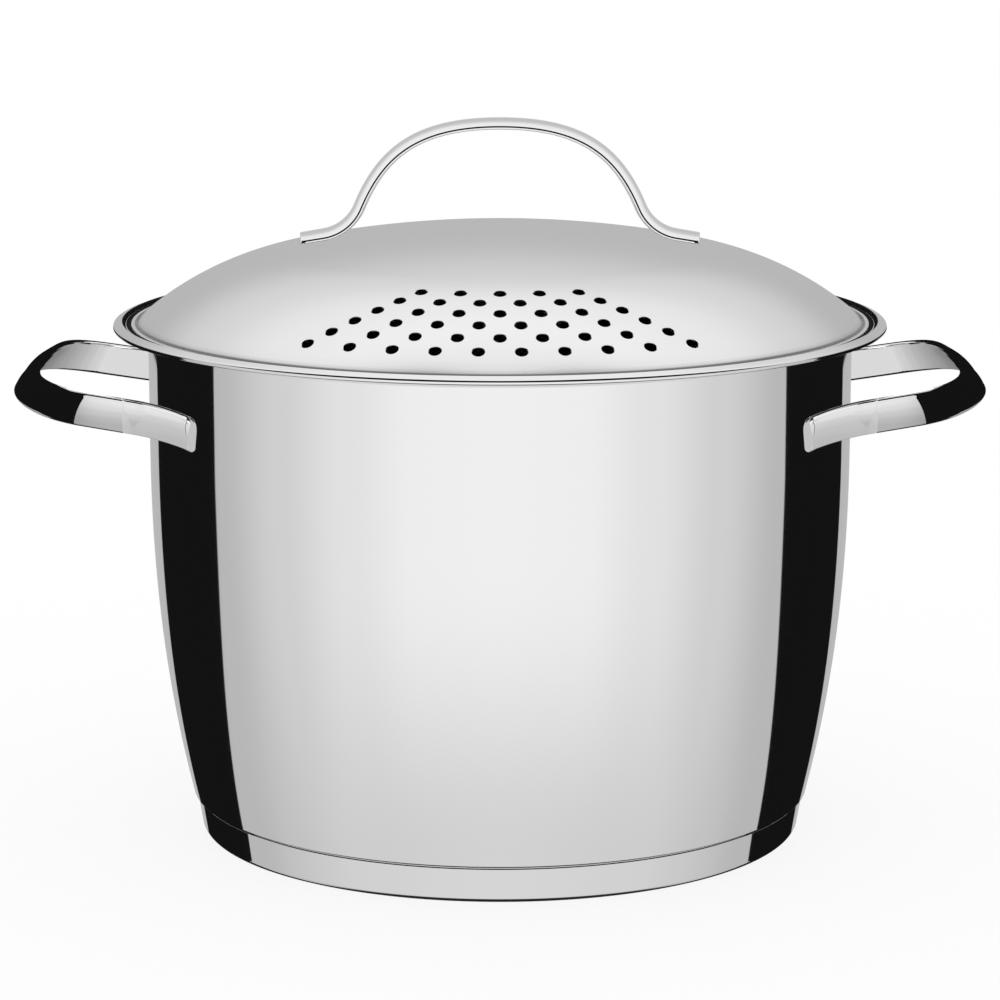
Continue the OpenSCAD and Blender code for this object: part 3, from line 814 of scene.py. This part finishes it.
def wire(name, node, mirror):
    """A wire grip of the insert; mirror is 1 at the right and -1 at the left."""
    r = WIRE_D / 2
    leg_y = WIRE_SPAN / 2
    in_r = insert_r(COLLAR_Z) - INSERT_SHEET - WELD_GAP - r
    lean = math.radians(WIRE_LEAN)
    up = np.array([-math.sin(lean), 0.0, math.cos(lean)])
    knee = np.array([math.sqrt(in_r ** 2 - leg_y ** 2), leg_y, COLLAR_Z + WIRE_FOOT])
    leg = (SEAT_Z + WIRE_TOP - r - knee[2]) / math.cos(lean)
    low = rounded(np.array([knee[0], COLLAR_Z]), np.array([knee[0], knee[2]]),
                  np.array([knee[0] + up[0], knee[2] + up[2]]), WIRE_KNEE, 8)
    corner = rounded(np.array([leg_y, 0.0]), np.array([leg_y, leg]), np.array([0.0, leg]), WIRE_BEND, 14)
    foot = [np.array([knee[0], leg_y, COLLAR_Z + h]) for h in (0.0, 0.3, 0.9)]
    half = (foot + [np.array([p[0], leg_y, p[1]]) for p in low]
            + [np.array([knee[0], p[0], knee[2]]) + up * p[1] for p in corner])
    path = half + [p * np.array([1.0, -1.0, 1.0]) for p in reversed(half)]
    face = np.array([math.cos(lean), 0.0, math.sin(lean)])
    rings = []
    for i, p in enumerate(path):
        along = direction_at(path, i)
        n = face - along * float(np.dot(face, along))
        n /= np.linalg.norm(n)
        w = np.cross(along, n)
        # The wire's ends are rounded over their first three rings
        size = r * (0.72, 0.93, 1.0)[min(i, len(path) - 1 - i, 2)]
        rings.append([tuple((p + size * (n * math.cos(a) + w * math.sin(a))) * np.array([mirror, 1, 1]))
                      for a in np.linspace(0, 2 * math.pi, 25)[:-1]])
    loft(name, rings, node, "insert", sharp=50.0)


def dress_nodes():
    """Materials for the CAD nodes that stay."""
    for node in ("base_core", "insert_wall", "insert_floor"):
        mesh = frame["nodes"][node].data
        mesh.materials.clear()
        mesh.materials.append(FINISH[SLOT_OF[node]])


# Studio

def floor():
    """A plain pale floor, which the polished steel doesn't mirror."""
    material, nodes, links = new_material("floor_white")
    shader = nodes["Principled BSDF"]
    shader.inputs["Base Color"].default_value = (1.0, 1.0, 1.0, 1.0)
    shader.inputs["Roughness"].default_value = 1.0
    shader.inputs["Specular IOR Level"].default_value = 0.0
    path = nodes.new("ShaderNodeLightPath")
    share = nodes.new("ShaderNodeMath")
    share.operation = "MULTIPLY"
    share.inputs[1].default_value = FLOOR_WHITE
    links.new(path.outputs["Is Camera Ray"], share.inputs[0])
    white = nodes.new("ShaderNodeEmission")
    both = nodes.new("ShaderNodeMixShader")
    links.new(share.outputs["Value"], both.inputs["Fac"])
    links.new(shader.outputs["BSDF"], both.inputs[1])
    links.new(white.outputs["Emission"], both.inputs[2])
    links.new(both.outputs["Shader"], nodes["Material Output"].inputs["Surface"])
    bpy.ops.mesh.primitive_plane_add(size=40.0, location=(0.0, 0.0, 0.0))
    plane = bpy.context.object
    plane.name = "floor"
    plane.data.materials.append(material)
    plane.visible_glossy = False


class Graph:
    """Short spelling of shader maths."""

    def __init__(self, tree):
        self.nodes, self.links = tree.nodes, tree.links

    def put(self, value, socket):
        if isinstance(value, (int, float)):
            socket.default_value = value
        else:
            self.links.new(value, socket)

    def math(self, operation, *values):
        node = self.nodes.new("ShaderNodeMath")
        node.operation = operation
        for value, socket in zip(values, node.inputs):
            self.put(value, socket)
        return node.outputs["Value"]

    def step(self, value, low, high, to_low=0.0, to_high=1.0):
        """A smooth step of value from low to high."""
        node = self.nodes.new("ShaderNodeMapRange")
        node.interpolation_type = "SMOOTHSTEP"
        for name, v in (("Value", value), ("From Min", low), ("From Max", high),
                        ("To Min", to_low), ("To Max", to_high)):
            self.put(v, node.inputs[name])
        return node.outputs["Result"]

    def ramp(self, value, low, high, stops):
        """A smooth tone over value from low to high, by a few (place, tone) stops."""
        share = self.math("DIVIDE", self.math("SUBTRACT", value, low), high - low)
        node = self.nodes.new("ShaderNodeValToRGB")
        ramp = node.color_ramp
        ramp.interpolation = "EASE"
        while len(ramp.elements) < len(stops):
            ramp.elements.new(0.5)
        for element, (place, tone) in zip(ramp.elements, stops):
            element.position = (place - low) / (high - low)
            element.color = (tone, tone, tone, 1.0)
        self.links.new(share, node.inputs["Fac"])
        return node.outputs["Color"]

    def mix(self, share, a, b):
        node = self.nodes.new("ShaderNodeMix")
        node.data_type = "FLOAT"
        for name, v in (("Factor", share), ("A", a), ("B", b)):
            self.put(v, node.inputs[name])
        return node.outputs["Result"]


def shaded_place(g):
    """The coordinates X, Y and Z of the point that is shaded."""
    split = g.nodes.new("ShaderNodeSeparateXYZ")
    g.links.new(g.nodes.new("ShaderNodeNewGeometry").outputs["Position"], split.inputs["Vector"])
    return [split.outputs[axis] for axis in "XYZ"]


def sky_direction(g):
    """The parts X, Y and Z of the direction from the stage's middle to the point that is shaded."""
    unit = g.nodes.new("ShaderNodeVectorMath")
    unit.operation = "NORMALIZE"
    g.links.new(g.nodes.new("ShaderNodeNewGeometry").outputs["Position"], unit.inputs[0])
    split = g.nodes.new("ShaderNodeSeparateXYZ")
    g.links.new(unit.outputs["Vector"], split.inputs["Vector"])
    return [split.outputs[axis] for axis in "XYZ"]


def turn_and_rise(g):
    """Degrees away from straight in front, the same to both sides, and degrees over the horizon."""
    x, y, z = sky_direction(g)
    turn = g.math("ARCTAN2", g.math("ABSOLUTE", x), g.math("MULTIPLY", y, -1.0))
    return [g.math("MULTIPLY", angle, 180.0 / math.pi) for angle in (turn, g.math("ARCSINE", z))]


def surround_tone(g):
    """The mirrored studio by direction: a soft sweep with dark panels left and right."""
    turn, rise = turn_and_rise(g)
    # Below the horizon: the pale sweep, brightest in front
    near = g.ramp(turn, 0.0, 180.0, [(0, 0.97), (25, 0.955), (50, 0.845), (75, 0.70), (102, 0.53),
                                     (150, 0.5)])
    low = g.ramp(turn, 0.0, 180.0, [(0, 0.72), (60, 0.68), (90, 0.60), (110, 0.52), (150, 0.5)])
    sweep = g.mix(g.step(rise, -14.0, -42.0), near, low)
    # Above it: a grey wall behind that turns into a broad overhead light
    back = g.ramp(rise, 0.0, 90.0, [(0, 0.495), (17, 0.505), (34, 0.735), (52, 0.93), (68, 1.0),
                                    (90, 0.95)])
    upper = g.mix(g.step(turn, 70.0, 110.0), near, back)
    # A dark gap over the camera, between the sweep and the overhead light
    gap = g.math("MULTIPLY", g.step(rise, 16.0, 24.0), g.step(rise, 84.0, 76.0))
    gap = g.math("MULTIPLY", gap, g.step(turn, 100.0, 85.0))
    upper = g.mix(gap, upper, 0.01)
    tone = g.mix(g.step(rise, -2.0, 2.0), sweep, upper)
    # Dark panels at the sides, whose edges bend away below the horizon
    deep = g.math("MAXIMUM", g.math("SUBTRACT", -11.0, rise), 0.0)
    square = g.math("MULTIPLY", deep, deep)
    front_edge = g.math("ADD", 105.0, g.math("MULTIPLY", g.math("MINIMUM", square, 400.0), 0.05))
    back_edge = g.math("ADD", 149.8, g.math("MULTIPLY", square, 0.17))
    back_edge = g.mix(g.step(rise, -8.8, -8.2), back_edge, 171.0)
    top_edge = g.math("SUBTRACT", 14.0, g.math("MULTIPLY", g.math("SUBTRACT", turn, 126.0), 0.48))
    panel = g.math("MULTIPLY", g.step(g.math("SUBTRACT", turn, front_edge), -0.3, 0.3),
                   g.step(g.math("SUBTRACT", back_edge, turn), -0.3, 0.3))
    panel = g.math("MULTIPLY", panel, g.step(g.math("SUBTRACT", top_edge, rise), -0.5, 0.5))
    tone = g.mix(panel, tone, PANEL_BLACK)
    # Straight below, the dark of the shadow under the pot
    return g.mix(g.step(rise, -50.0, -62.0), tone, 0.02)


def strap_sky(g):
    """What the side straps mirror beyond their own panels: a dark room with a pale back floor."""
    turn, rise = turn_and_rise(g)
    pale = g.ramp(turn, 90.0, 180.0, [(98, 0.45), (122, 0.39), (143, 0.34), (160, 0.29), (175, 0.24)])
    back = g.math("MULTIPLY", g.step(rise, -13.0, -15.0), g.step(turn, 88.0, 94.0))
    back = g.math("MULTIPLY", back, g.step(rise, -48.0, -44.0))
    return g.mix(back, PANEL_BLACK, pale)


def arch_sky(g):
    """What the lid's arch mirrors: white in front, dark overhead and grey behind."""
    return g.ramp(sky_direction(g)[1], -1.0, 1.0, [
        (-1.0, 0.97), (-0.8, 0.97), (-0.74, 0.01), (0.46, 0.01), (0.5, 0.98), (0.66, 0.9), (0.78, 0.64),
        (0.9, 0.56), (1.0, 0.6)])


def receivers(name, pieces, state):
    """A collection that includes its pieces in a light or excludes them from it."""
    group = bpy.data.collections.new(name)
    for piece in pieces:
        group.objects.link(piece)
    for member in group.collection_objects:
        member.light_linking.link_state = state
    return group


def mirrored_only(thing, group):
    """Make thing a light of the stage that is seen only in reflections, on the group's pieces."""
    for sight in ("visible_camera", "visible_diffuse", "visible_transmission", "visible_shadow",
                  "visible_volume_scatter"):
        setattr(thing, sight, False)
    thing.light_linking.receiver_collection = group


def light_material(name, paint, clear=False, one_sided=False):
    """A plain emitter of one tone, or of the tone that the function paint works out.

    A clear one lets rays go on behind it. A one-sided one is solid from its front and clear,
    without light, from its back."""
    material, nodes, links = new_material(name)
    nodes.remove(nodes["Principled BSDF"])
    glow = nodes.new("ShaderNodeEmission")
    if isinstance(paint, float):
        glow.inputs["Color"].default_value = (paint, paint, paint, 1.0)
    else:
        links.new(paint(Graph(material.node_tree)), glow.inputs["Color"])
    surface = glow.outputs["Emission"]
    if clear:
        both = nodes.new("ShaderNodeAddShader")
        links.new(surface, both.inputs[0])
        links.new(nodes.new("ShaderNodeBsdfTransparent").outputs["BSDF"], both.inputs[1])
        surface = both.outputs["Shader"]
    if one_sided:
        both = nodes.new("ShaderNodeMixShader")
        links.new(nodes.new("ShaderNodeNewGeometry").outputs["Backfacing"], both.inputs["Fac"])
        links.new(surface, both.inputs[1])
        links.new(nodes.new("ShaderNodeBsdfTransparent").outputs["BSDF"], both.inputs[2])
        surface = both.outputs["Shader"]
    links.new(surface, nodes["Material Output"].inputs["Surface"])
    material.cycles.emission_sampling = "NONE"
    return material


def far_sphere(name, radius, material, group):
    """A sphere of mirrored light, metres away all round the stage."""
    bpy.ops.mesh.primitive_uv_sphere_add(radius=radius, segments=64, ring_count=32)
    ball = bpy.context.object
    ball.name = name
    ball.data.shade_smooth()
    ball.data.materials.append(material)
    mirrored_only(ball, group)


def curtain_tone(g):
    """The near leg's light by height over the leg's line: bright above, greyer towards the bow."""
    x, _, z = shaded_place(g)
    wide = g.math("ABSOLUTE", x)
    line = g.math("ADD", 0.149, g.math("MULTIPLY", g.math("SUBTRACT", wide, 0.1024), 0.157))
    tone = g.ramp(g.math("SUBTRACT", z, line), -0.03, 0.03, [
        (-0.017, 0.49), (-0.009, 0.54), (-0.002, 0.65), (0.004, 0.78), (0.010, 0.87), (0.013, 0.98)])
    return g.math("MULTIPLY", tone, g.step(wide, 0.150, 0.134, 0.66, 1.0))


def foot_tone(g):
    """The near foot's light by height: bright above and greyer below."""
    height = shaded_place(g)[2]
    return g.ramp(g.math("SUBTRACT", height, 0.1495), -0.03, 0.03, [
        (-0.013, 0.55), (-0.0025, 0.61), (0.0036, 0.69), (0.008, 0.85), (0.012, 0.98)])


def wall_tone(g):
    """The light that the far leg mirrors before the pot's wall, darker towards the bow."""
    behind = shaded_place(g)[1]
    return g.ramp(behind, -0.03, 0.12, [(-0.012, 0.79), (0.017, 0.69), (0.03, 0.59), (0.040, 0.51),
                                        (0.05, 0.45), (0.06, 0.4), (0.09, 0.34)])


def sheet(name, material, corners, side, group):
    """A flat four-cornered light, mirrored to either handle; its front faces the first turn."""
    order = (0, 1, 2, 3) if side > 0 else (3, 2, 1, 0)
    mesh = bpy.data.meshes.new(name)
    mesh.from_pydata([(side * x / 1000, y / 1000, z / 1000) for x, y, z in corners], [], [order])
    mesh.materials.append(material)
    panel = bpy.data.objects.new(name, mesh)
    bpy.context.scene.collection.objects.link(panel)
    mirrored_only(panel, group)


def strap_panels(straps, others):
    """Small panels beside each strap, which the straps alone mirror as light."""
    curtain = light_material("strap_curtain", curtain_tone, clear=True)
    foot = light_material("strap_foot_card", foot_tone)
    shade = light_material("foot_card_shade", PANEL_BLACK, clear=True)
    screen = light_material("strap_screen", 0.78, one_sided=True)
    wall = light_material("strap_wall_card", wall_tone, one_sided=True)
    end_card = light_material("strap_end_card", 0.6, one_sided=True)
    canopy = light_material("strap_canopy", 0.67, clear=True)
    bright = light_material("strap_bright", 0.95, clear=True)

    def slanted(x):
        """Where the curtain, which runs along the near leg, stands at x."""
        return -92.0 + 0.562 * (x - 90.0)

    foot_card = [(125, -64, 118), (125, -38, 118), (125, -38, 170), (125, -64, 170)]
    sheets = {
        "curtain": (curtain, [(155, slanted(155), 112), (90, slanted(90), 112),
                              (90, slanted(90), 184), (138.8, slanted(138.8), 168)]),
        "curtain_low": (curtain, [(155, slanted(155), 50), (90, slanted(90), 50),
                                  (90, slanted(90), 112), (155, slanted(155), 112)]),
        "foot_card": (foot, foot_card),
        "screen": (screen, [(121, -20, 40), (121, -20, 160), (160, -20, 160), (160, -20, 40)]),
        "wall_card": (wall, [(121.6, -20, 90), (121.6, 100, 90), (121.6, 100, 158), (121.6, -20, 158)]),
        "canopy": (canopy, [(100, 35, 185), (150, 35, 185), (150, -59, 185), (100, -59, 185)]),
        "end_card": (end_card, [(99, -77, 136), (99, -66, 136), (99, -66, 162), (99, -77, 162)]),
        "far_strip": (bright, [(100, 42, 185), (150, 42, 185), (150, 58, 185), (100, 58, 185)]),
        "bow_strip": (bright, [(126, -34, 190), (146, -34, 190), (146, 34, 190), (126, 34, 190)]),
    }
    for side in (1.0, -1.0):
        for name, (material, corners) in sheets.items():
            sheet(name, material, corners, side, straps)
        # To all but the straps, the foot card is as black as the dark panel around it
        shade_card = [(x - 0.05, y, z) for x, y, z in foot_card]
        sheet("foot_card_shade", shade, shade_card, side, others)


def studio(straps, arch):
    """A white surround; what the steel mirrors is drawn on far spheres and small panels."""
    surround = bpy.data.worlds.new("studio")
    surround.use_nodes = True
    surround.node_tree.nodes["Background"].inputs["Color"].default_value = (1.0, 1.0, 1.0, 1.0)
    bpy.context.scene.world = surround
    for strap in straps:
        strap.visible_glossy = False
    # In the satin dome, the arch that stands on it would only make a dark smear
    arch.visible_glossy = False
    straps_only = receivers("straps_only", straps, "INCLUDE")
    others = receivers("all_but_straps_and_arch", straps + [arch], "EXCLUDE")
    arch_only = receivers("arch_only", [arch], "INCLUDE")
    far_sphere("studio_surround", 30.0, light_material("surround_light", surround_tone), others)
    far_sphere("arch_surround", 29.0, light_material("arch_light", arch_sky, clear=True), arch_only)
    far_sphere("strap_surround", 28.0, light_material("strap_light", strap_sky, clear=True), straps_only)
    strap_panels(straps_only, others)


def camera():
    """The photograph's camera."""
    data = bpy.data.cameras.new("camera")
    data.lens = CAMERA_LENS
    data.sensor_width = CAMERA_SENSOR
    view = bpy.data.objects.new("camera", data)
    view.location = CAMERA_AT
    view.rotation_euler = (math.pi / 2 - CAMERA_PITCH, 0.0, 0.0)
    bpy.context.scene.collection.objects.link(view)
    bpy.context.scene.camera = view


camera()
dress_nodes()
pot_body()
capsule()
straps = [side_strap("right_strap", "right_handle", 1.0), side_strap("left_strap", "left_handle", -1.0)]
collar()
wire("right_wire", "insert_right_grip", 1.0)
wire("left_wire", "insert_left_grip", -1.0)
lid_dome()
arch = lid_arch()
floor()
studio(straps, arch)
bpy.context.scene.view_settings.view_transform = "Standard"
